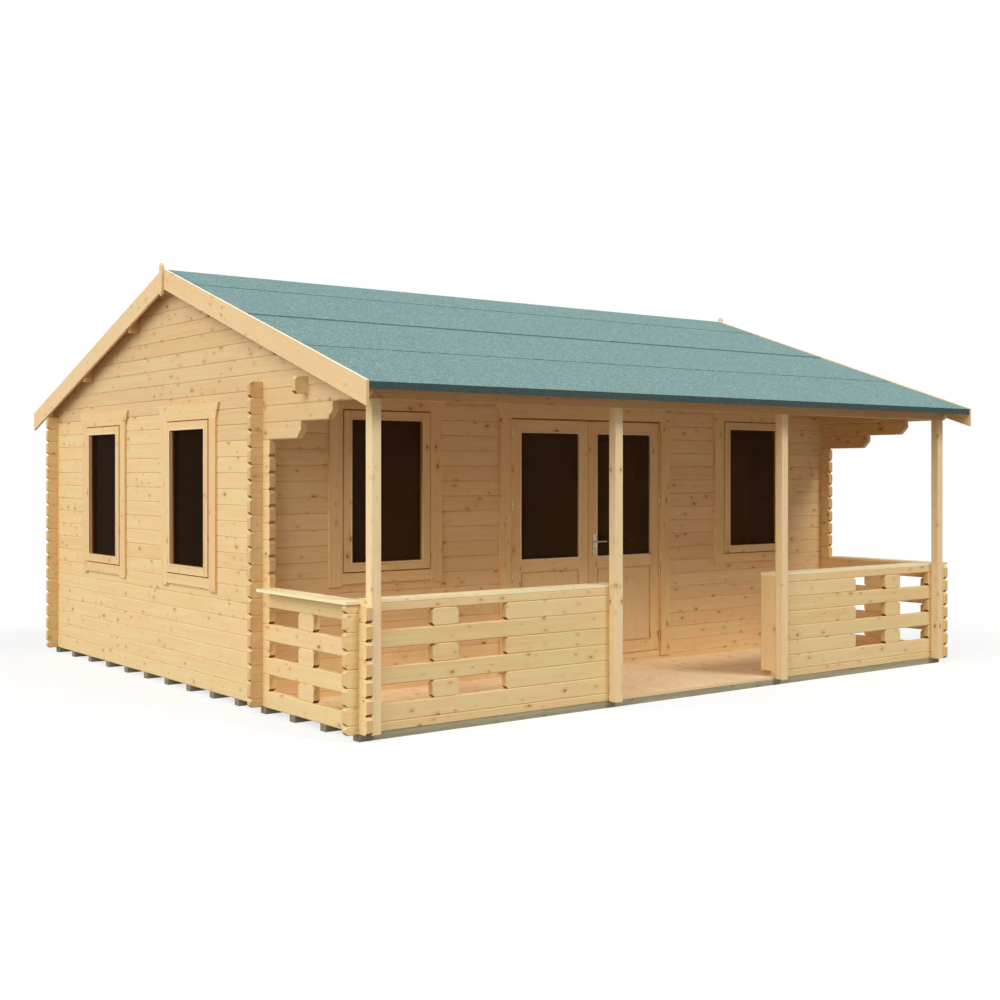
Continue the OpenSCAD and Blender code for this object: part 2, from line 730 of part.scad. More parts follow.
module veranda_tie_log() {
  color("#E2BD86") on_bearers() difference() {
    logs_along_x(-x_stub, x_stub, y_tie, joints(seat_z - log_h, seat_z, half_share), end_bevel, end_bevel);
    for (x = [-x_wall, x_in]) cross_notches(x, y_tie, seat_z - log_h, seat_z);
  }
}

// Front rail either side of the entry: three open courses between solid ones
module front_rail_logs() {
  start = -x_in + corner_block;
  color("#D9B880") on_bearers() both_sides() difference() {
    union() {
      logs_along_x(-x_stub, -entry_w / 2 - end_board_t, y_rail, joints(0, sill_z, half_share), end_bevel, 0);
      logs_along_x(-x_stub, -entry_w / 2, y_rail, joints(0, half_h, half_share), end_bevel, 0);
    }
    cross_notches(-x_wall, y_rail, 0, sill_z);
    for (k = [1:2:base_courses - 2], x = [start, start + rail_gap + rail_block])
      along_y(y_rail - overrun, y_rail + log_t + overrun)
        open_course(x, x + rail_gap, k * log_h + half_h);
  }
}

module rail_end_boards() {
  color("#D9B27C") on_bearers() both_sides()
    translate([-entry_w / 2 - end_board_t, y_rail, half_h]) cube([end_board_t, cap_w, sill_z - half_h]);
}

module side_rail_caps() {
  start = y_rail - cap_nose;
  color("#F3DCA8") on_bearers() both_sides() translate([-x_in - cap_w, start, sill_z])
    cube([cap_w, y_front - corner_stub - start, cap_t]);
}
module front_rail_caps() {
  color("#F3DCA8") on_bearers() both_sides()
    translate([-x_in, y_rail, sill_z]) cube([x_in - entry_w / 2, cap_w, cap_t]);
}

module roof_purlins() { color("#C99C66") on_bearers() purlin_runs(); }

module roof_deck() {
  near = cover_gap / 2;
  far = half_span - felt_t;
  color("#B98C58") on_bearers() along_x(-x_barge, x_barge) both_slopes()
    polygon([[-near, under(near) + bed_gap], [-near, under(near) + deck_t * plumb],
      [-far, under(far) + deck_t * plumb], [-far, under(far) + bed_gap]]);
}
// Felt in overlapping strips: each strip climbs on the one below it and drops at its lower edge
module roof_felt() {
  laps = [cover_gap / 2, upper_lap, lower_lap];
  far = half_span - felt_t;
  eave_z = under(half_span) + (deck_t + 2 * felt_t) * plumb;
  color("#86ADA8") on_bearers() along_x(-x_barge, x_barge) both_slopes()
    polygon([slope_point(laps[0], 0), slope_point(laps[0], felt_t),
      for (i = [1, 2]) each [slope_point(laps[i], 2 * felt_t), slope_point(laps[i], felt_t)],
      [-half_span, eave_z], [-half_span, eave_z - felt_fold], [-far, eave_z - felt_fold],
      [-far, under(far) + deck_t * plumb]]);
}
// Strip folded over the ridge, lying on the upper strips
module ridge_felt() {
  base = felt_t * (1 + ridge_strip / upper_lap);
  low = slope_point(ridge_strip, base);
  top = slope_point(ridge_strip, base + felt_t);
  peak = apex_z + (deck_t + felt_t) * plumb;
  color("#7FA7A3") on_bearers() along_x(-x_barge, x_barge)
    polygon([low, top, [0, peak + felt_t * plumb], [-top[0], top[1]], [-low[0], low[1]], [0, peak]]);
}

module barge_boards() {
  color("#F3D59F") on_bearers() both_sides() along_x(-x_barge - barge_t, -x_barge) barge_outline(0);
}
// Pointed board over the joint of the barge boards
module finials() {
  top = apex_z + (deck_t + barge_rise) * plumb + finial_rise;
  point = point_share * finial_w;
  x = x_barge + barge_t;
  color("#F3D59F") on_bearers() both_sides() along_x(-x - finial_t, -x)
    polygon([[0, top], [-finial_w / 2, top - point], [-finial_w / 2, top - finial_h + point],
      [0, top - finial_h], [finial_w / 2, top - finial_h + point], [finial_w / 2, top - point]]);
}

floor_bearers();
cabin_floor();
veranda_floor();
left_wall_lower_logs();
right_wall_lower_logs();
left_wall_pier_logs();
right_wall_pier_logs();
corbel_logs();
left_gable_logs();
right_gable_logs();
front_wall_sill_log();
front_wall_lower_logs();
front_wall_pier_logs();
front_wall_upper_logs();
back_wall_logs();
frame_posts();
frame_rails();
window_panes();
side_casings();
head_and_sill_boards();
left_door_stiles();
left_door_rails();
left_door_panel();
left_door_pane();
left_door_hinges();
right_door_stiles();
right_door_rails();
right_door_panel();
right_door_pane();
right_door_hinges();
frame_hinges();
handle_plates();
door_lever();
veranda_posts();
veranda_beam();
veranda_tie_log();
front_rail_logs();
rail_end_boards();
side_rail_caps();
front_rail_caps();
roof_purlins();
roof_deck();
roof_felt();
ridge_felt();
barge_boards();
finials();
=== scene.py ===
import math
import bmesh
import bpy
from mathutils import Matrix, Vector


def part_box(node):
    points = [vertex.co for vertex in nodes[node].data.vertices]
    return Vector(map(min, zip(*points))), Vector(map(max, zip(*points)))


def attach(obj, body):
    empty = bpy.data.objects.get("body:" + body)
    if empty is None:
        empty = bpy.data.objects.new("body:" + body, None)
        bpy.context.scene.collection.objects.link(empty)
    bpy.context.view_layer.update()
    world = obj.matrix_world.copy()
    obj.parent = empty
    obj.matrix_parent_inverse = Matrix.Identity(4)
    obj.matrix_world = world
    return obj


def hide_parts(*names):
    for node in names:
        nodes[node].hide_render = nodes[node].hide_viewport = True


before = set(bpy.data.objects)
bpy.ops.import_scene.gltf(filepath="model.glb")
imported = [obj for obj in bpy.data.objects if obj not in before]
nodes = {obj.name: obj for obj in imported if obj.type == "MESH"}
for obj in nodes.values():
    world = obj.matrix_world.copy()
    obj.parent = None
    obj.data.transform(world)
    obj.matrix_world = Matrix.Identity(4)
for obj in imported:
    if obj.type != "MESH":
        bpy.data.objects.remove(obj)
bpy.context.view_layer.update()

# Floor bearers
# Sawn pine battens, pressure treated, which carry the whole cabin off the ground.
# The treatment leaves the wood grey-green and dull, with dark knots.
MM = 0.001
# Tones are pale, middle and deep wood, a pink and a yellow cast, and the knots
TREATED_TONES = ("#C2BA9C", "#A9A184", "#7A735A", "#B3A581", "#A19C7E", "#463826")
# A cell this long, counted from its far side, takes in the whole cabin
EVERYWHERE, FAR_SIDE = 100, -50


def linear(code):
    """Linear RGBA of an sRGB hex colour."""
    channels = [int(code[i:i + 2], 16) / 255 for i in (1, 3, 5)]
    return (*(c / 12.92 if c <= 0.04045 else ((c + 0.055) / 1.055) ** 2.4 for c in channels), 1)


def add(tree, kind, *values, named=None, **settings):
    """Adds a node. Values feed its live sockets in order, and named ones by name.

    A value is a constant, an output, or a node that stands for its first live output.
    """
    node = tree.nodes.new(kind)
    for setting, value in settings.items():
        setattr(node, setting, value)
    live = [socket for socket in node.inputs if socket.enabled]
    pairs = [*zip(live, values), *((node.inputs[name], value) for name, value in (named or {}).items())]
    for socket, value in pairs:
        if isinstance(value, bpy.types.Node):
            value = next(output for output in value.outputs if output.enabled)
        if isinstance(value, bpy.types.NodeSocket):
            tree.links.new(value, socket)
        else:
            socket.default_value = value
    return node


def new_material(name):
    """A node material with nothing in it but its Principled shader and its output."""
    material = bpy.data.materials.new(name)
    material.use_nodes = True
    tree = material.node_tree
    tree.nodes.clear()
    shader = add(tree, "ShaderNodeBsdfPrincipled")
    add(tree, "ShaderNodeOutputMaterial", shader)
    return material, tree, shader


def dress(material, *names):
    """Gives CAD nodes their material."""
    for name in names:
        slots = nodes[name].data.materials
        slots.clear()
        slots.append(material)


def timber(name, tones, along, across, cell, start=(0, 0, 0), both_slopes=False, roughness=0.56,
           bevel_shade=None, painted_top_highlight=None):
    """Planed softwood: faint streaks and growth rings along the grain, small knots, end grain.

    along and across are directions on the main face. Each cell of space holds one log or board,
    which gets a tone and a run of grain of its own. Bevels under the ends of logs get painted shade,
    dark, where a shade colour is given. Faces that point up get a painted highlight, where a colour is given.
    """
    maths, vectors, spread = "ShaderNodeMath", "ShaderNodeVectorMath", "ShaderNodeMapRange"
    noise, mix = "ShaderNodeTexNoise", "ShaderNodeMix"
    pale, mid, deep, blush, sap, knot_brown = (linear(tone) for tone in tones)
    streak_length, streak_width = 900 * MM, 26 * MM
    ring_length, ring_width = 1600 * MM, 95 * MM
    # Real fibres are under 1 mm wide; these are drawn coarser so that they show
    fibre_length, fibre_width = 140 * MM, 4 * MM
    knot_spacing, knot_row, crowd_length, crowd_row = 150 * MM, 80 * MM, 520 * MM, 260 * MM
    tint_length, tint_width = 650 * MM, 75 * MM
    pith_spacing, ring_pitch = 170 * MM, 9 * MM
    # The most that one log's grain is shifted from another's, in metres
    run_shift, rise_shift = 37.0, 11.0
    # A range turns what goes in, from and to, into what comes out, from and to
    knot_sizes, knot_depths, crowds = (0.0, 1.0, 0.05, 0.18), (0.25, 0.85, 0.0, 0.95), (0.42, 0.6, 0.15, 1.0)
    core_fade, halo_fade = (0.15, 1.1, 1.0, 0.0), (0.5, 3.2, 1.0, 0.0)
    streak_tones, end_tones = (0.3, 0.7, 0.24, 0.46), (-1.0, 1.0, 0.5, 0.9)
    pink_cast, yellow_cast = (0.64, 0.9, 0.0, 0.5), (0.58, 0.36, 0.0, 0.5)
    edge_fade = (0.8, 0.9, 0.0, 0.85)
    ring_turns, ring_swerve = 75.0, 0.04
    ring_share, fibre_share, log_share, halo_share = 0.035, 0.2, 0.3, 0.75
    tone_drop, mid_place = 0.2, 0.45
    # A face is end grain or a bevel by the way it points
    end_limit = 0.9 * Vector(along).length
    bevel_slant, bevel_play, underneath = 0.707, 0.12, -0.3
    ring_relief, knot_relief = 0.15, -0.5
    material, tree, shader = new_material(name)
    place = add(tree, "ShaderNodeTexCoord")
    point = place.outputs["Object"]
    from_start = add(tree, vectors, point, start, operation="SUBTRACT")
    piece = add(tree, vectors, add(tree, vectors, from_start, cell, operation="DIVIDE"), operation="FLOOR")
    chance = add(tree, "ShaderNodeTexWhiteNoise", piece, noise_dimensions="3D")
    chances = add(tree, "ShaderNodeSeparateColor", chance.outputs["Color"])
    if both_slopes:
        point = add(tree, vectors, point, operation="ABSOLUTE").outputs["Vector"]
    run = add(tree, vectors, point, along, operation="DOT_PRODUCT")
    rise = add(tree, vectors, point, across, operation="DOT_PRODUCT")
    run = add(tree, maths, chances.outputs["Red"], run_shift, run, operation="MULTIPLY_ADD")
    rise = add(tree, maths, chances.outputs["Green"], rise_shift, rise, operation="MULTIPLY_ADD")
    grain = add(tree, "ShaderNodeCombineXYZ", run, rise)

    at = add(tree, vectors, grain, (knot_spacing, knot_row, 1), operation="DIVIDE")
    knots = add(tree, "ShaderNodeTexVoronoi", at, 1.0, voronoi_dimensions="2D")
    luck = add(tree, "ShaderNodeSeparateColor", knots.outputs["Color"])
    at = add(tree, vectors, grain, (crowd_length, crowd_row, 1), operation="DIVIDE")
    crowd = add(tree, spread, add(tree, noise, at, 1.0, 1.0, noise_dimensions="2D"), *crowds)
    size = add(tree, spread, luck.outputs["Green"], *knot_sizes)
    reach = add(tree, maths, knots.outputs["Distance"], size, operation="DIVIDE")
    depth = add(tree, spread, luck.outputs["Red"], *knot_depths)
    depth = add(tree, maths, depth, crowd, operation="MULTIPLY")
    core = add(tree, spread, reach, *core_fade, interpolation_type="SMOOTHSTEP")
    halo = add(tree, spread, reach, *halo_fade, interpolation_type="SMOOTHSTEP")
    core = add(tree, maths, core, depth, operation="MULTIPLY")
    halo = add(tree, maths, halo, depth, operation="MULTIPLY")

    at = add(tree, vectors, grain, (streak_length, streak_width, 1), operation="DIVIDE")
    streaks = add(tree, noise, at, 1.0, 3.0, noise_dimensions="2D")
    at = add(tree, vectors, grain, (fibre_length, fibre_width, 1), operation="DIVIDE")
    fibres = add(tree, noise, at, 1.0, 2.0, noise_dimensions="2D")
    at = add(tree, vectors, grain, (ring_length, ring_width, 1), operation="DIVIDE")
    field = add(tree, noise, at, 1.0, 1.0, noise_dimensions="2D")
    field = add(tree, maths, halo, ring_swerve, field, operation="MULTIPLY_ADD")
    turns = add(tree, maths, field, ring_turns, operation="MULTIPLY")
    rings = add(tree, maths, turns, operation="SINE")

    tone = add(tree, spread, streaks, *streak_tones)
    tone = add(tree, maths, rings, ring_share, tone, operation="MULTIPLY_ADD")
    tone = add(tree, maths, fibres, fibre_share, tone, operation="MULTIPLY_ADD")
    tone = add(tree, maths, chances.outputs["Blue"], log_share, tone, operation="MULTIPLY_ADD")
    tone = add(tree, maths, tone, tone_drop, operation="SUBTRACT")
    colour = add(tree, "ShaderNodeValToRGB", tone)
    colour.color_ramp.elements[0].color = pale
    colour.color_ramp.elements[1].color = deep
    colour.color_ramp.elements.new(mid_place).color = mid
    at = add(tree, vectors, grain, (tint_length, tint_width, 1), operation="DIVIDE")
    tint = add(tree, noise, at, 1.0, 1.0, noise_dimensions="2D")
    warm = add(tree, maths, chance.outputs["Value"], log_share, tint, operation="MULTIPLY_ADD")
    pink = add(tree, spread, warm, *pink_cast)
    yellow = add(tree, spread, warm, *yellow_cast)
    wood = add(tree, mix, pink, colour, blush, data_type="RGBA")
    wood = add(tree, mix, yellow, wood, sap, data_type="RGBA")
    shade = add(tree, maths, halo, halo_share, operation="MULTIPLY")
    wood = add(tree, mix, shade, wood, deep, data_type="RGBA")
    wood = add(tree, mix, core, wood, knot_brown, data_type="RGBA")

    facing = add(tree, vectors, place.outputs["Normal"], along, operation="DOT_PRODUCT")
    slant = add(tree, maths, facing, operation="ABSOLUTE")
    is_end = add(tree, maths, slant, end_limit, operation="GREATER_THAN")
    at = add(tree, vectors, point, (pith_spacing,) * 3, operation="DIVIDE")
    pith = add(tree, "ShaderNodeTexVoronoi", at, 1.0)
    end_turns = math.tau * pith_spacing / ring_pitch
    turns = add(tree, maths, pith.outputs["Distance"], end_turns, operation="MULTIPLY")
    end_tone = add(tree, spread, add(tree, maths, turns, operation="SINE"), *end_tones)
    end_wood = add(tree, mix, end_tone, mid, deep, data_type="RGBA")
    wood = add(tree, mix, is_end, wood, end_wood, data_type="RGBA")
    upward = add(tree, "ShaderNodeSeparateXYZ", place.outputs["Normal"]).outputs["Z"]
    # Painted highlight: faces that point up are drawn paler
    if painted_top_highlight:
        on_top = add(tree, spread, upward, *edge_fade)
        wood = add(tree, mix, on_top, wood, linear(painted_top_highlight), data_type="RGBA")
    # Painted shade: bevels that face down at the ends of logs are drawn dark in the shade colour
    if bevel_shade:
        beneath = add(tree, maths, upward, underneath, operation="LESS_THAN")
        bevel = add(tree, maths, slant, bevel_slant, bevel_play, operation="COMPARE")
        bevel = add(tree, maths, bevel, beneath, operation="MULTIPLY")
        wood = add(tree, mix, bevel, wood, linear(bevel_shade), data_type="RGBA")

    height = add(tree, maths, rings, ring_relief, fibres, operation="MULTIPLY_ADD")
    height = add(tree, maths, core, knot_relief, height, operation="MULTIPLY_ADD")
    bump = add(tree, "ShaderNodeBump", named={"Strength": 0.2, "Distance": MM, "Height": height})
    sheen = add(tree, spread, streaks, 0.2, 0.8, roughness - 0.06, roughness + 0.08)
    tree.links.new(wood.outputs["Result"], shader.inputs["Base Color"])
    tree.links.new(sheen.outputs["Result"], shader.inputs["Roughness"])
    tree.links.new(bump.outputs["Normal"], shader.inputs["Normal"])
    shader.inputs["Specular IOR Level"].default_value = 0.3
    return material


bearer_pine = timber("pressure_treated_pine", TREATED_TONES, along=(1, 0, 0), across=(0, 0.7, 1),
                     cell=(EVERYWHERE, 0.2, EVERYWHERE), start=(FAR_SIDE, 0, FAR_SIDE), roughness=0.75)
dress(bearer_pine, "floor_bearers")

# Log walls
# Planed spruce logs with bevelled edges, notched where they cross and stacked dry.
# Side courses start on the bearers; front, back and rail courses start half a course up.
SPRUCE_TONES = ("#F5DAA5", "#EECC91", "#DFB273", "#F0C592", "#EAD698", "#85522A")
# Painted shade: the gable and corbel logs get darker tones, for the shade under the verges
GABLE_SHADE_TONES = ("#E9CD9A", "#E2BF88", "#D3A56B", "#E4B988", "#DDC78B", "#85522A")
# Painted shade: deeper, warmer tones for the front wall in the veranda's shade
VERANDA_SHADE_TONES = ("#F4D5A2", "#ECC78F", "#DDAC70", "#EDBC90", "#E8D194", "#85522A")
# Painted shade: darker, more orange tones for the front wall's top courses under the eaves
EAVES_SHADE_TONES = ("#EDC992", "#E5BB80", "#D4A162", "#E4B080", "#DFC284", "#7A4A24")
# Painted shade for the downward bevels at log ends, paler on the piers under the eaves
BEVEL_SHADE, PIER_SHADE = "#7A5630", "#B48856"
course = 113 * MM
log_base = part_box("floor_bearers")[1][2]
side_lay = {"along": (0, 1, 0), "across": (0.7, 0, 1), "cell": (3, EVERYWHERE, course),
            "start": (-1.5, FAR_SIDE, log_base)}
front_lay = {"along": (1, 0, 0), "across": (0, 0.7, 1), "cell": (EVERYWHERE, 0.5, course),
             "start": (FAR_SIDE, 0, log_base - course / 2)}
for group, tones, lay, bevel_shade, members in (
        ("side_logs", SPRUCE_TONES, side_lay, BEVEL_SHADE,
         ("left_wall_lower_logs", "right_wall_lower_logs")),
        ("pier_logs", SPRUCE_TONES, side_lay, PIER_SHADE,
         ("left_wall_pier_logs", "right_wall_pier_logs")),
        ("gable_logs", GABLE_SHADE_TONES, side_lay, None,
         ("corbel_logs", "left_gable_logs", "right_gable_logs")),
        ("front_logs", SPRUCE_TONES, front_lay, BEVEL_SHADE,
         ("back_wall_logs", "veranda_tie_log", "front_rail_logs")),
        ("veranda_wall_shade", VERANDA_SHADE_TONES, front_lay, BEVEL_SHADE,
         ("front_wall_sill_log", "front_wall_lower_logs", "front_wall_pier_logs")),
        ("upper_wall_shade", EAVES_SHADE_TONES, front_lay, BEVEL_SHADE, ("front_wall_upper_logs",))):
    dress(timber("planed_spruce_" + group, tones, **lay, bevel_shade=bevel_shade), *members)

# Floors
# Planed spruce boards with eased edges, laid side by side across the bearers on hidden nails.
# On the veranda the boards of the entry run on to the front edge, between the rails.
floor_low, floor_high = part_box("cabin_floor")
veranda_low, veranda_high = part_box("veranda_floor")
floor_boards, entry_boards = 56, 16
board_pitch = (floor_high[0] - floor_low[0]) / floor_boards
board_gap, board_ease, ease_steps = 1.2 * MM, 2.5 * MM, 2
rail_thickness = 45 * MM
FLOOR_TONES = ("#FFEBC2", "#FDDDB0", "#F1C597", "#FDD5B2", "#F7E2B0", "#A8743F")
floor_spruce = timber("planed_spruce_floor_boards", FLOOR_TONES, along=(0, 1, 0), across=(1, 0, 0.7),
                      cell=(board_pitch, 1.4, EVERYWHERE), start=(0, -1.41, FAR_SIDE))


def node_tree(name, start, *sizes):
    """A Geometry Nodes tree and its inputs: the geometry it starts from, its sizes and its finish."""
    tree = bpy.data.node_groups.new(name, "GeometryNodeTree")
    for socket, kind in ((start, "Geometry"), *((size, "Float") for size in sizes), ("Finish", "Material")):
        tree.interface.new_socket(socket, in_out="INPUT", socket_type="NodeSocket" + kind)
    tree.interface.new_socket("Result", in_out="OUTPUT", socket_type="NodeSocketGeometry")
    return tree, add(tree, "NodeGroupInput").outputs


def complete(tree, geometry, finish):
    """Ends a tree: what it made becomes real geometry with its finish."""
    real = add(tree, "GeometryNodeRealizeInstances", geometry)
    real = add(tree, "GeometryNodeSetMaterial", real, named={"Material": finish})
    add(tree, "NodeGroupOutput", real)


def set_out(tree, inputs, shape, **placing):
    """Ends a tree that puts its shape at every start, turned as the start says."""
    turn = add(tree, "GeometryNodeInputNamedAttribute", "turn", data_type="FLOAT_VECTOR")
    turn = add(tree, "FunctionNodeEulerToRotation", turn)
    placed = add(tree, "GeometryNodeInstanceOnPoints", inputs["Starts"],
                 named={"Instance": shape, "Rotation": turn, **placing})
    complete(tree, placed, inputs["Finish"])


def starts(rows, edges=(), **attributes):
    """Points, joined by edges where they make a path, each with its own values of the named attributes."""
    mesh = bpy.data.meshes.new("starts")
    mesh.from_pydata(rows, edges, [])
    for name, values in attributes.items():
        is_vector = isinstance(values[0], tuple)
        attribute = mesh.attributes.new(name, "FLOAT_VECTOR" if is_vector else "FLOAT", "POINT")
        flat = [part for value in values for part in value] if is_vector else values
        attribute.data.foreach_set("vector" if is_vector else "value", flat)
    return mesh


def finished(name, mesh, body):
    """An object for a mesh, its doubles merged and its faces outwards, that rides on a body."""
    shape = bmesh.new()
    shape.from_mesh(mesh)
    bmesh.ops.remove_doubles(shape, verts=shape.verts, dist=0.01 * MM)
    bmesh.ops.recalc_face_normals(shape, faces=shape.faces)
    shape.to_mesh(mesh)
    shape.free()
    piece = bpy.data.objects.new(name, mesh)
    bpy.context.scene.collection.objects.link(piece)
    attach(piece, body)
    return piece


def grown(name, tree, mesh, values, body):
    """Runs a tree on a mesh and leaves the result as a plain mesh that rides on a body."""
    source = bpy.data.objects.new(name + "_source", mesh)
    bpy.context.scene.collection.objects.link(source)
    modifier = source.modifiers.new(name, "NODES")
    modifier.node_group = tree
    for socket in tree.interface.items_tree:
        if socket.in_out == "INPUT" and socket.name in values:
            modifier[socket.identifier] = values[socket.name]
    evaluated = source.evaluated_get(bpy.context.evaluated_depsgraph_get())
    result = bpy.data.meshes.new_from_object(evaluated)
    source.modifiers.clear()
    bpy.data.objects.remove(source)
    return finished(name, result, body)


board_tree, board_in = node_tree("laid_boards", "Starts", "Width", "Thickness", "Eased Edge")
section = add(board_tree, "GeometryNodeCurvePrimitiveQuadrilateral", board_in["Width"], board_in["Thickness"])
section = add(board_tree, "GeometryNodeFilletCurve", section, ease_steps, board_in["Eased Edge"], mode="POLY")
length_line = add(board_tree, "GeometryNodeCurvePrimitiveLine", (0, 0, 0), (0, 1, 0))
board = add(board_tree, "GeometryNodeCurveToMesh", length_line, section, named={"Fill Caps": True})
board_length = add(board_tree, "GeometryNodeInputNamedAttribute", "length", data_type="FLOAT")
set_out(board_tree, board_in, board, Scale=add(board_tree, "ShaderNodeCombineXYZ", 1.0, board_length, 1.0))

board_thickness = floor_high[2] - floor_low[2]
board_middle = (floor_high[2] + floor_low[2]) / 2
board_sizes = {"Width": board_pitch - board_gap, "Thickness": board_thickness, "Eased Edge": board_ease,
               "Finish": floor_spruce}
across = [floor_low[0] + (i + 0.5) * board_pitch for i in range(floor_boards)]
unturned = [(0, 0, 0)] * floor_boards
cabin_starts = starts([(x, floor_low[1], board_middle) for x in across],
                      length=[floor_high[1] - floor_low[1]] * floor_boards, turn=unturned)
cabin_boards = grown("cabin_floor_boards", board_tree, cabin_starts, board_sizes, "cabin")
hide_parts("cabin_floor")
entry_half = entry_boards / 2 * board_pitch
fronts = [veranda_low[1] if abs(x) < entry_half else veranda_low[1] + rail_thickness for x in across]
veranda_starts = starts([(x, y, board_middle) for x, y in zip(across, fronts)],
                        length=[veranda_high[1] - y for y in fronts], turn=unturned)
veranda_boards = grown("veranda_floor_boards", board_tree, veranda_starts, board_sizes, "cabin")
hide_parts("veranda_floor")

# Windows
# Softwood frames and sashes with one pane each, cased outside with planed boards nailed on.
# Beads and thin gaskets hold the panes in their rebates, and the frame members are jointed at the
# corners. A brown rubber seal closes the joint round each sash.
JOINERY_TONES = ("#F5D7A2", "#EEC88D", "#DFAF70", "#F0C08E", "#EAD194", "#85522A")
BEAD_TONES = ("#F9E8C8", "#F6DFB8", "#EBCC9A", "#F4D8B2", "#F0DCAE", "#A8794A")
upright_lay = {"along": (0, 0, 1), "across": (1, 1, 0), "cell": (0.35, 0.4, EVERYWHERE),
               "start": (0, 0, FAR_SIDE)}
upright_spruce = timber("planed_spruce_uprights", JOINERY_TONES, **upright_lay)
level_spruce = timber("planed_spruce_level_members", JOINERY_TONES, along=(1, 1, 0), across=(0, 0, 1),
                      cell=(2.4, 2.0, 1.0), start=(-1.2, -1.4, 0.45))
bead_spruce = timber("planed_spruce_glazing_beads", BEAD_TONES, **upright_lay)
dress(upright_spruce, "frame_posts", "side_casings")
dress(level_spruce, "frame_rails", "head_and_sill_boards")

wall_x, front_y = 2900 * MM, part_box("front_wall_sill_log")[0][1]
side_sill_z, front_sill_z, door_sill_z = 836 * MM, 892.5 * MM, 101.5 * MM
side_window_ys, front_window_x = (-251 * MM, 1433 * MM), 1915 * MM
window_spots = [((s * wall_x, y, side_sill_z), s * math.pi / 2) for s in (-1, 1) for y in side_window_ys]
window_spots += [((s * front_window_x, front_y, front_sill_z), 0) for s in (-1, 1)]
pane_width, pane_height, pane_rise, sash_proud = 601 * MM, 1016 * MM, 99 * MM, 24 * MM
bead_width, bead_thickness, bead_ease, bead_bed = 9 * MM, 5 * MM, 1.5 * MM, 0.5 * MM


def on_face(spot, sideways, out, up):
    """A point off a wall face, measured from the middle of the sill of an opening."""
    (x, y, z), angle = spot
    return (x + sideways * math.cos(angle) + out * math.sin(angle),
            y + sideways * math.sin(angle) - out * math.cos(angle), z + up)


bead_tree, bead_in = node_tree("glazing_beads", "Starts", "Length", "Height", "Section Width",
                               "Section Thickness", "Eased Edge")
round_pane = add(bead_tree, "GeometryNodeCurvePrimitiveQuadrilateral", bead_in["Length"], bead_in["Height"])
section = add(bead_tree, "GeometryNodeCurvePrimitiveQuadrilateral", bead_in["Section Width"],
              bead_in["Section Thickness"])
section = add(bead_tree, "GeometryNodeFilletCurve", section, ease_steps, bead_in["Eased Edge"], mode="POLY")
set_out(bead_tree, bead_in, add(bead_tree, "GeometryNodeCurveToMesh", round_pane, section))


def framed(name, finish, spots, section, out, middle, size, body):
    """Strips mitred round the openings at some spots. The size is taken along the middle of a strip."""
    width, depth, ease = section
    length, height = size
    rows = [on_face(spot, 0, out, middle) for spot in spots]
    turns = [(math.pi / 2, 0, angle) for _, angle in spots]
    # A sweep narrows its section by the root of two where it is mitred at a square corner
    values = {"Section Width": width * math.sqrt(2), "Section Thickness": depth, "Eased Edge": ease,
              "Length": length, "Height": height, "Finish": finish}
    grown(name, bead_tree, starts(rows, turn=turns), values, body)


pane_middle = pane_rise + pane_height / 2
framed("window_glazing_beads", bead_spruce, window_spots, (bead_width, bead_thickness, bead_ease),
       sash_proud + bead_thickness / 2 - bead_bed, pane_middle,
       (pane_width + bead_width, pane_height + bead_width), "cabin")

seal_brown, tree, shader = new_material("brown_epdm_seal")
# Extruded rubber: dull, with a faint cloudy bloom along it
bloom = 30 * MM
place = add(tree, "ShaderNodeTexCoord")
ribs = add(tree, "ShaderNodeTexNoise", place.outputs["Object"], 1 / bloom, 2.0)
colour = add(tree, "ShaderNodeMix", ribs, linear("#A0652C"), linear("#B47434"), data_type="RGBA")
tree.links.new(colour.outputs["Result"], shader.inputs["Base Color"])
shader.inputs["Roughness"].default_value = 0.85
shader.inputs["Specular IOR Level"].default_value = 0.1
sash_width, sash_height, sash_rise = 725 * MM, 1140 * MM, 37 * MM
seal_gap, seal_depth, seal_play = 9 * MM, 8 * MM, 0.6 * MM
seal_width = seal_gap - seal_play
framed("window_weather_seals", seal_brown, window_spots, (seal_width, seal_depth, bead_ease),
       seal_depth / 2, sash_rise + sash_height / 2, (sash_width + seal_gap, sash_height + seal_gap), "cabin")
gasket_width, gasket_depth, gasket_ease, glass_set = 3 * MM, 15 * MM, 1 * MM, 11 * MM
framed("window_glazing_gaskets", seal_brown, window_spots, (gasket_width, gasket_depth, gasket_ease),
       gasket_depth / 2 - glass_set, pane_middle,
       (pane_width - gasket_width, pane_height - gasket_width), "cabin")


def plated_metal(name, bright, dull, mottle, roughness):
    """Plated steel: a metal sheen, with soft mottling where the plating is thicker or thinner."""
    material, tree, shader = new_material(name)
    place = add(tree, "ShaderNodeTexCoord")
    cloud = add(tree, "ShaderNodeTexNoise", place.outputs["Object"], 1 / mottle, 2.0)
    share = add(tree, "ShaderNodeMapRange", cloud, 0.35, 0.65, 0.0, 1.0)
    colour = add(tree, "ShaderNodeMix", share, linear(bright), linear(dull), data_type="RGBA")
    sheen = add(tree, "ShaderNodeMapRange", cloud, 0.35, 0.65, roughness - 0.06, roughness + 0.1)
    tree.links.new(colour.outputs["Result"], shader.inputs["Base Color"])
    tree.links.new(sheen.outputs["Result"], shader.inputs["Roughness"])
    shader.inputs["Metallic"].default_value = 1.0
    return material


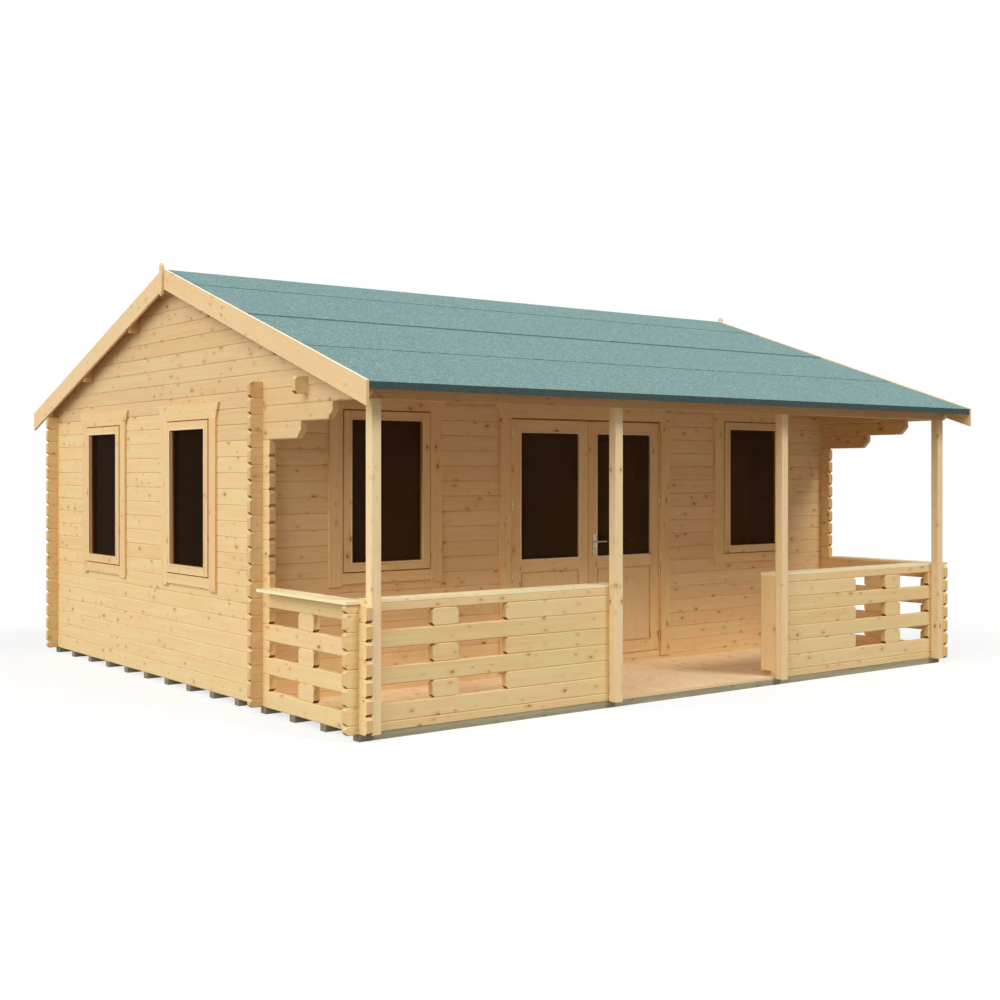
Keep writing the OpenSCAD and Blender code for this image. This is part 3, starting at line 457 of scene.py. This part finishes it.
nail_zinc = plated_metal("zinc_plated_nails", "#D8C6A2", "#BBA377", 6 * MM, 0.5)
nail_radius, nail_top, nail_height, nail_sides = 3.5 * MM, 2.4 * MM, 1.4 * MM, 10
nail_tree, nail_in = node_tree("driven_nails", "Starts", "Radius", "Top Radius", "Height")
head = add(nail_tree, "GeometryNodeMeshCone", nail_sides, 1, 1, nail_in["Top Radius"], nail_in["Radius"],
           nail_in["Height"])
set_out(nail_tree, nail_in, head)
nail_sizes = {"Radius": nail_radius, "Top Radius": nail_top, "Height": nail_height, "Finish": nail_zinc}
casing_out = 18 * MM
window_nails = [(s * 424 * MM, z * MM) for s in (-1, 1) for z in (20, 380, 740, 1100)]
window_nails += [(x * MM, 1243 * MM) for x in (-400, -135, 135, 400)]
window_nails += [(x * MM, -10 * MM) for x in (-250, 0, 250)]
door_nails = [(s * 845 * MM, z * MM) for s in (-1, 1) for z in (60, 510, 960, 1410, 1860)]
door_nails += [(x * MM, 2011 * MM) for x in (-800, -400, 0, 400, 800)]
door_spot = ((0, front_y, door_sill_z), 0)
nailed = [(spot, place) for spot in window_spots for place in window_nails]
nailed += [(door_spot, place) for place in door_nails]
casing_starts = starts([on_face(spot, x, casing_out, z) for spot, (x, z) in nailed],
                       turn=[(math.pi / 2, 0, spot[1]) for spot, _ in nailed])
grown("casing_nails", nail_tree, casing_starts, nail_sizes, "cabin")

float_glass, tree, shader = new_material("float_glass")
# The sheet is not quite flat or even: a slow ripple in the face, and faint paler and darker drifts
ripple, side_zone = 320 * MM, 100 * MM
place = add(tree, "ShaderNodeTexCoord")
drift = add(tree, "ShaderNodeTexNoise", place.outputs["Object"], 1 / ripple, 1.0)
share = add(tree, "ShaderNodeMapRange", drift, 0.35, 0.65, 0.0, 1.0)
colour = add(tree, "ShaderNodeMix", share, linear("#80634A"), linear("#785B41"), data_type="RGBA")
parts = add(tree, "ShaderNodeSeparateXYZ", place.outputs["Object"])
sideways = add(tree, "ShaderNodeMath", parts.outputs["X"], operation="ABSOLUTE")
# The side panes are painted darker than the front ones as shade, to offset the lamps' light on the side walls
side_pane_shade = add(tree, "ShaderNodeMath", sideways, wall_x - side_zone, operation="GREATER_THAN")
colour = add(tree, "ShaderNodeMix", side_pane_shade, colour, linear("#482D14"), data_type="RGBA")
bump = add(tree, "ShaderNodeBump", named={"Strength": 0.05, "Distance": MM, "Height": share})
tree.links.new(colour.outputs["Result"], shader.inputs["Base Color"])
tree.links.new(bump.outputs["Normal"], shader.inputs["Normal"])
shader.inputs["Roughness"].default_value = 0.02
shader.inputs["IOR"].default_value = 1.03
shader.inputs["Transmission Weight"].default_value = 0.75
dress(float_glass, "window_panes", "left_door_pane", "right_door_pane")

# Doors
# Two half-glazed leaves of jointed stiles and rails, with a fielded panel below the glass.
# They hang on steel lift-off hinges, and a lever on the right-hand leaf works the latch.
# A rubber seal closes the joint under the head board.
PANEL_TONES = ("#F0CF9B", "#ECC892", "#E3B981", "#ECC394", "#E9CD97", "#85522A")
stile_spruce = timber("planed_spruce_door_stiles", JOINERY_TONES, along=(0, 0, 1), across=(1, 0.7, 0),
                      cell=(0.4, EVERYWHERE, EVERYWHERE), start=(0, FAR_SIDE, FAR_SIDE))
rail_spruce = timber("planed_spruce_door_rails", JOINERY_TONES, along=(1, 0, 0), across=(0, 0.7, 1),
                     cell=(EVERYWHERE, EVERYWHERE, 0.6), start=(0, FAR_SIDE, 0))
# One long piece on either side of the middle
one_each_side = {"cell": (EVERYWHERE, EVERYWHERE, EVERYWHERE), "start": (0, FAR_SIDE, FAR_SIDE)}
panel_spruce = timber("planed_spruce_door_panels", PANEL_TONES, along=(0, 0, 1), across=(1, 0.7, 0),
                      **one_each_side)
light_width, light_height, light_x, light_rise = 587 * MM, 985 * MM, 390 * MM, 855 * MM
door_bead = 12 * MM
for side, sign in (("left", -1), ("right", 1)):
    dress(stile_spruce, f"{side}_door_stiles")
    dress(panel_spruce, f"{side}_door_panel")
    dress(rail_spruce, f"{side}_door_rails")
    light_spot = ((sign * light_x, front_y, door_sill_z), 0)
    framed(f"{side}_door_glazing_beads", bead_spruce, [light_spot], (door_bead, bead_thickness, bead_ease),
           bead_thickness / 2 - bead_bed, light_rise + light_height / 2,
           (light_width + door_bead, light_height + door_bead), f"{side}_door")
leaf_top, head_low, head_gap, head_half = 1940 * MM, 1945 * MM, 14 * MM, 785 * MM
head_middle = (head_low + leaf_top + head_gap) / 2
head_starts = starts([on_face(door_spot, -head_half, seal_depth / 2, head_middle)], length=[2 * head_half],
                     turn=[(0, 0, -math.pi / 2)])
head_sizes = {"Width": seal_depth, "Thickness": seal_width, "Eased Edge": bead_ease, "Finish": seal_brown}
grown("door_head_seal", board_tree, head_starts, head_sizes, "cabin")
passivated_steel = plated_metal("yellow_passivated_steel", "#D6BC92", "#B4976A", 14 * MM, 0.55)
dress(passivated_steel, "left_door_hinges", "right_door_hinges", "frame_hinges")

satin_nickel = plated_metal("satin_nickel", "#C2B9A8", "#A39986", 25 * MM, 0.34)
plate_low, plate_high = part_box("handle_plates")
leaf_thickness = 40 * MM
leaf_front, leaf_back = front_y, front_y + leaf_thickness
plate_thickness, plate_corner, plate_bevel, corner_steps = 6 * MM, 9 * MM, 1.6 * MM, 6
plate_width, plate_tall = plate_high[0] - plate_low[0], plate_high[2] - plate_low[2]
plate_x, plate_z = (plate_low[0] + plate_high[0]) / 2, (plate_low[2] + plate_high[2]) / 2
plate_shape = bmesh.new()
for face_y, outward in ((leaf_front, -1), (leaf_back, 1)):
    rings = []
    for inset, rise in ((0, 0), (0, plate_thickness - plate_bevel), (plate_bevel, plate_thickness)):
        ring = []
        for quarter, (sx, sz) in enumerate(((1, 1), (-1, 1), (-1, -1), (1, -1))):
            for step in range(corner_steps + 1):
                angle = (quarter + step / corner_steps) * math.pi / 2
                reach = plate_corner - inset
                x = plate_x + sx * (plate_width / 2 - plate_corner) + reach * math.cos(angle)
                z = plate_z + sz * (plate_tall / 2 - plate_corner) + reach * math.sin(angle)
                ring.append(plate_shape.verts.new((x, face_y + outward * rise, z)))
        rings.append(ring)
    for lower, upper in zip(rings, rings[1:]):
        for i in range(len(lower)):
            j = (i + 1) % len(lower)
            plate_shape.faces.new((lower[i], lower[j], upper[j], upper[i]))
    plate_shape.faces.new(rings[0])
    plate_shape.faces.new(rings[-1])
plate_mesh = bpy.data.meshes.new("handle_back_plates")
plate_shape.to_mesh(plate_mesh)
plate_shape.free()
plate_mesh.materials.append(satin_nickel)
plates = finished("handle_back_plates", plate_mesh, "right_door")
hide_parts("handle_plates")

bend_steps, bar_sides = 6, 20
bar_tree, bar_in = node_tree("swept_bar", "Path", "Radius", "Bend Radius")
path = add(bar_tree, "GeometryNodeMeshToCurve", bar_in["Path"])
path = add(bar_tree, "GeometryNodeFilletCurve", path, bend_steps, bar_in["Bend Radius"], True, mode="POLY")
circle = add(bar_tree, "GeometryNodeCurvePrimitiveCircle", bar_sides, bar_in["Radius"])
bar_size = add(bar_tree, "GeometryNodeInputNamedAttribute", "size", data_type="FLOAT")
bar = add(bar_tree, "GeometryNodeCurveToMesh", path, circle, bar_size, True)
complete(bar_tree, bar, bar_in["Finish"])
lever_x, lever_z, lever_bend = 66.5 * MM, 1073.5 * MM, 16 * MM
lever_length, lever_off, lever_radius, spindle_radius = 98 * MM, 34 * MM, 7 * MM, 5 * MM
collar_radius, collar_height = 11 * MM, 5 * MM
# Shares of the height and the radius up the collar, and of the length and the radius along the arm
COLLAR_FORM = ((0, 1), (0.7, 1), (1, 0.8))
ARM_FORM = ((0, 1), (0.55, 0.86), (0.97, 0.94), (1, 0.9))
tip_reach, tip_size = 0.7, 0.45
lever_rows, lever_sizes, lever_edges = [], [], []
for face_y, outward in ((leaf_front, -1), (leaf_back, 1)):
    seat_y = face_y + outward * plate_thickness
    arm_y = face_y + outward * lever_off
    # A collar on the plate, then the neck, the bend and the arm, which thins towards its rounded end
    collar = [(lever_x, seat_y + outward * collar_height * share, collar_radius * size)
              for share, size in COLLAR_FORM]
    arm = [(lever_x, seat_y, lever_radius)]
    arm += [(lever_x + lever_length * share, arm_y, lever_radius * size) for share, size in ARM_FORM]
    arm += [(lever_x + lever_length + lever_radius * tip_reach, arm_y, lever_radius * tip_size)]
    for route in (collar, arm):
        for i, (x, y, size) in enumerate(route):
            if i:
                lever_edges.append((len(lever_rows) - 1, len(lever_rows)))
            lever_rows.append((x, y, lever_z))
            lever_sizes.append(size)
plate_front, plate_back = leaf_front - plate_thickness, leaf_back + plate_thickness
lever_edges.append((len(lever_rows), len(lever_rows) + 1))
lever_rows += [(lever_x, plate_front, lever_z), (lever_x, plate_back, lever_z)]
lever_sizes += [spindle_radius, spindle_radius]
lever_path = starts(lever_rows, lever_edges, size=lever_sizes)
bar_sizes = {"Radius": 1.0, "Bend Radius": lever_bend, "Finish": satin_nickel}
lever = grown("shaped_door_lever", bar_tree, lever_path, bar_sizes, "door_lever")
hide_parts("door_lever")

screw_inset, lock_rise = 12 * MM, 48 * MM
lock_brass = plated_metal("lock_cylinder_brass", "#B08D4E", "#8C6C38", 8 * MM, 0.4)
screw_sizes = {"Radius": 4 * MM, "Top Radius": 3.2 * MM, "Height": 1.2 * MM, "Finish": satin_nickel}
lock_sizes = {"Radius": 8.5 * MM, "Top Radius": 7.8 * MM, "Height": 2.5 * MM, "Finish": lock_brass}
for name, sizes, heights in (
        ("handle_plate_screws", screw_sizes, (plate_low[2] + screw_inset, plate_high[2] - screw_inset)),
        ("lock_cylinder_ends", lock_sizes, (plate_low[2] + lock_rise,))):
    rows = [(plate_x, y, z) for y in (plate_front, plate_back) for z in heights]
    turns = [(math.pi / 2 if y == plate_front else -math.pi / 2, 0, 0) for _, y, _ in rows]
    grown(name, nail_tree, starts(rows, turn=turns), sizes, "right_door")

# Veranda
# Square posts with eased edges carry a beam, and planed caps lie on the rails, nailed down.
# A board closes each length of front rail beside the entry.
POST_TONES = ("#FAE3B2", "#F6D8A4", "#E6BE84", "#F4D0A4", "#EFDAA0", "#96622F")
# Painted shade: the beam and purlins under the roof get darker tones
BEAM_SHADE_TONES = ("#DDB380", "#D3A670", "#BD8C54", "#D4A070", "#D0B078", "#7A4A24")
CAP_TONES = ("#FFF4C8", "#FFEDBC", "#F5D9A0", "#FFE8BE", "#FCEEBA", "#A8743F")
post_spruce = timber("planed_spruce_posts", POST_TONES, along=(0, 0, 1), across=(1, 1, 0),
                     cell=(1.5, EVERYWHERE, EVERYWHERE), start=(0, FAR_SIDE, FAR_SIDE))
beam_spruce = timber("planed_spruce_beams", BEAM_SHADE_TONES, along=(1, 0, 0), across=(0, 0.7, 1),
                     cell=(EVERYWHERE, 1, EVERYWHERE), start=(FAR_SIDE, -0.5, FAR_SIDE))
side_cap_spruce = timber("planed_spruce_side_caps", CAP_TONES, along=(0, 1, 0), across=(1, 0, 0.7),
                         **one_each_side)
front_cap_spruce = timber("planed_spruce_front_caps", CAP_TONES, along=(1, 0, 0), across=(0, 1, 0.7),
                          **one_each_side)
end_board_spruce = timber("planed_spruce_end_boards", SPRUCE_TONES, along=(0, 0, 1), across=(0.7, 1, 0),
                          **one_each_side)
dress(post_spruce, "veranda_posts")
dress(beam_spruce, "veranda_beam", "roof_purlins")
dress(side_cap_spruce, "side_rail_caps")
dress(front_cap_spruce, "front_rail_caps")
dress(end_board_spruce, "rail_end_boards")
cap_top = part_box("front_rail_caps")[1][2]
rail_y, side_rail_x, entry_x = -2661.5 * MM, 2877.5 * MM, 817 * MM
nail_rows = [(s * x * MM, rail_y, cap_top) for s in (-1, 1) for x in (900, 1390, 1880, 2370, 2800)]
nail_rows += [(s * side_rail_x, y * MM, cap_top) for s in (-1, 1) for y in (-2640, -2280, -1920, -1580)]
nail_turns = [(0, 0, 0)] * len(nail_rows)
end_nail_heights = (200, 400, 600, 790)
for s in (-1, 1):
    nail_rows += [(s * entry_x, rail_y, z * MM) for z in end_nail_heights]
    nail_turns += [(0, -s * math.pi / 2, 0)] * len(end_nail_heights)
grown("veranda_nails", nail_tree, starts(nail_rows, turn=nail_turns), nail_sizes, "cabin")

# Roof deck
# Spruce boards with eased edges, nailed to the purlins from ridge to eaves.
# Their undersides are the ceiling of the cabin and of the veranda.
pitch = math.radians(18.8)
deck_low, deck_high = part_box("roof_deck")
deck_boards = 62
deck_pitch = (deck_high[0] - deck_low[0]) / deck_boards
deck_depth, deck_thickness, deck_bed = 19 * MM, 18.8 * MM, 0.2 * MM
deck_gap, deck_ease, ridge_gap = 1.5 * MM, 3.5 * MM, 1 * MM
down_slope = (0, math.cos(pitch), -math.sin(pitch))
off_slope = (0, math.sin(pitch), math.cos(pitch))
# Painted shade: darker, more orange tones for the deck, whose underside is only seen in shade
DECK_SHADE_TONES = ("#E6BE84", "#DCAE70", "#C89450", "#DCA672", "#D8B674", "#7A4A24")
deck_spruce = timber("planed_spruce_deck_boards", DECK_SHADE_TONES, along=down_slope, across=(1, 0, 0.7),
                     cell=(deck_pitch, 3, EVERYWHERE), start=(0, 0, FAR_SIDE), both_slopes=True)
ridge_under = deck_high[2] - deck_depth / math.cos(pitch)
deck_run = (deck_high[1] - deck_thickness * math.sin(pitch) - ridge_gap) / math.cos(pitch)
deck_rise = deck_thickness / 2 + deck_bed
rows = [(deck_low[0] + (i + 0.5) * deck_pitch, side * (ridge_gap + deck_rise * math.sin(pitch)),
         ridge_under + deck_rise * math.cos(pitch)) for side in (-1, 1) for i in range(deck_boards)]
turns = [(-pitch, 0, math.pi if y < 0 else 0) for _, y, _ in rows]
deck_starts = starts(rows, length=[deck_run] * len(rows), turn=turns)
deck_sizes = {"Width": deck_pitch - deck_gap, "Thickness": deck_thickness, "Eased Edge": deck_ease,
              "Finish": deck_spruce}
deck = grown("roof_deck_boards", board_tree, deck_starts, deck_sizes, "cabin")
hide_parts("roof_deck")

# Roof covering
# Green mineral felt in overlapping strips, turned down at the eaves.
# Slate granules pressed into the bitumen give a matt, speckled, blue-green face.
felt, tree, shader = new_material("mineral_felt")
# Real granules are about 1 mm; these are drawn coarser so that they show
granule, cloud_size = 9 * MM, 1000 * MM / 3
place = add(tree, "ShaderNodeTexCoord")
grains = add(tree, "ShaderNodeTexVoronoi", place.outputs["Object"], 1 / granule)
grain_luck = add(tree, "ShaderNodeSeparateColor", grains.outputs["Color"])
speckle = add(tree, "ShaderNodeValToRGB", grain_luck.outputs["Red"])
speckle.color_ramp.elements[0].color = linear("#587A7B")
speckle.color_ramp.elements[1].color = linear("#9FB4B0")
speckle.color_ramp.elements.new(0.3).color = linear("#769491")
speckle.color_ramp.elements.new(0.75).color = linear("#7F9D9A")
clouds = add(tree, "ShaderNodeTexNoise", place.outputs["Object"], 1 / cloud_size, 2.0)
cloud_share = add(tree, "ShaderNodeMapRange", clouds, 0.3, 0.7, 0.0, 0.22)
colour = add(tree, "ShaderNodeMix", cloud_share, speckle, linear("#6E8C8A"), data_type="RGBA")
# The fold at the eaves stands upright, and its upright faces are painted dark as shade
parts = add(tree, "ShaderNodeSeparateXYZ", place.outputs["Normal"])
lie = add(tree, "ShaderNodeMath", parts.outputs["Z"], operation="ABSOLUTE")
fold = add(tree, "ShaderNodeMapRange", lie, 0.05, 0.25, 0.85, 0.0)
colour = add(tree, "ShaderNodeMix", fold, colour, linear("#343F3A"), data_type="RGBA")
# Painted shadow below the upper lap: a dark strip, drawn as the uncovered bitumen edge of the sheet beneath
lap_shade_start, lap_shade_width, lap_shade_share = 1390 * MM, 34 * MM, 0.7
mirrored = add(tree, "ShaderNodeVectorMath", place.outputs["Object"], operation="ABSOLUTE")
along_slope = add(tree, "ShaderNodeVectorMath", mirrored, down_slope, operation="DOT_PRODUCT")
lap_shade_middle = lap_shade_start + lap_shade_width / 2 - deck_high[2] * math.sin(pitch)
lap_shade = add(tree, "ShaderNodeMath", along_slope, lap_shade_middle, lap_shade_width / 2, operation="COMPARE")
lap_shade = add(tree, "ShaderNodeMath", lap_shade, lap_shade_share, operation="MULTIPLY")
colour = add(tree, "ShaderNodeMix", lap_shade, colour, linear("#40595A"), data_type="RGBA")
bump = add(tree, "ShaderNodeBump", named={"Strength": 0.35, "Distance": 1.5 * MM,
                                         "Height": grain_luck.outputs["Green"]})
tree.links.new(colour.outputs["Result"], shader.inputs["Base Color"])
tree.links.new(bump.outputs["Normal"], shader.inputs["Normal"])
shader.inputs["Roughness"].default_value = 0.92
shader.inputs["Specular IOR Level"].default_value = 0.2
dress(felt, "roof_felt", "ridge_felt")

# Barge boards and finials
# Planed spruce boards nailed to the ends of the purlins along both verges.
# A pointed board covers the joint of each pair at the ridge.
BARGE_TONES = ("#F4D6A4", "#EFCA94", "#E0B27A", "#F1C496", "#EBCD96", "#A0622C")
# The upper edges of the barge boards get a painted highlight
barge_spruce = timber("planed_spruce_barge_boards", BARGE_TONES, along=down_slope, across=off_slope,
                      cell=(3, 3, EVERYWHERE), start=(-1.5, 0, FAR_SIDE), both_slopes=True,
                      painted_top_highlight="#FFF8E8")
finial_spruce = timber("planed_spruce_finials", BARGE_TONES, along=(0, 0, 1), across=(0.7, 1, 0),
                       **one_each_side)
dress(barge_spruce, "barge_boards")
dress(finial_spruce, "finials")
barge_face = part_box("barge_boards")[1][0]
barge_drop, pair_step = 42 * MM, 40 * MM
# Pairs of nails, at these distances from the ridge
pair_ys = [y * MM for y in (90, 710, 1210, 1710, 2230, 2750)]
nail_rows = [(s * barge_face, t * y, ridge_under - y * math.tan(pitch) - barge_drop + k * pair_step)
             for s in (-1, 1) for t in (-1, 1) for y in pair_ys for k in (-1, 1)]
nail_turns = [(0, math.copysign(math.pi / 2, x), 0) for x, _, _ in nail_rows]
grown("barge_board_nails", nail_tree, starts(nail_rows, turn=nail_turns), nail_sizes, "cabin")

# Studio
# A pale floor, an even white sky and two soft lamps, a broad one on the left and one in front.
# The camera stands where the photograph was taken from.
floor_span, floor_glow, sky_level = 120, 0.72, 0.27


def seen_rays(tree):
    """One for rays that see the studio directly, in a reflection or through glass, and nought for others."""
    ray = add(tree, "ShaderNodeLightPath").outputs
    seen = add(tree, "ShaderNodeMath", ray["Is Camera Ray"], ray["Is Glossy Ray"], operation="MAXIMUM")
    return add(tree, "ShaderNodeMath", seen, ray["Is Transmission Ray"], operation="MAXIMUM")


bpy.ops.mesh.primitive_plane_add(size=floor_span)
floor = bpy.context.object
floor.name = "studio_floor"
floor_white, tree, shader = new_material("studio_floor_white")
# Matt paper, lit up to white where it is seen, that still shows the cabin's shadow
shader.inputs["Base Color"].default_value = linear("#959595")
shader.inputs["Roughness"].default_value = 0.9
shader.inputs["Specular IOR Level"].default_value = 0.0
shader.inputs["Emission Color"].default_value = linear("#FFFFFF")
glow = add(tree, "ShaderNodeMath", seen_rays(tree), floor_glow, operation="MULTIPLY")
tree.links.new(glow.outputs[0], shader.inputs["Emission Strength"])
floor.data.materials.append(floor_white)

world = bpy.data.worlds.new("studio_sky")
bpy.context.scene.world = world
world.use_nodes = True
tree = world.node_tree
tree.nodes.clear()
level = add(tree, "ShaderNodeMapRange", seen_rays(tree), 0.0, 1.0, sky_level, 1.0)
sky = add(tree, "ShaderNodeBackground", linear("#FFFFFF"), level)
add(tree, "ShaderNodeOutputWorld", sky)

for name, strength, width, direction in (("left_softbox", 2.50, 66, (0.81, 0.08, -0.57)),
                                         ("front_softbox", 1.60, 22, (-0.28, 0.64, -0.71))):
    lamp = bpy.data.objects.new(name, bpy.data.lights.new(name, "SUN"))
    lamp.data.energy = strength
    lamp.data.angle = math.radians(width)
    lamp.rotation_euler = Vector(direction).to_track_quat("-Z", "Y").to_euler()
    bpy.context.scene.collection.objects.link(lamp)

camera = bpy.data.objects.new("camera", bpy.data.cameras.new("camera"))
camera.location = (-7.2239, -9.8295, 1.6317)
camera.rotation_euler = (math.pi / 2, 0, -math.radians(37.26))
camera.data.sensor_width = 36
camera.data.lens = 49.44
camera.data.shift_x = -0.00538
camera.data.shift_y = -0.02749
bpy.context.scene.collection.objects.link(camera)
bpy.context.scene.camera = camera
bpy.context.scene.view_settings.view_transform = "Standard"
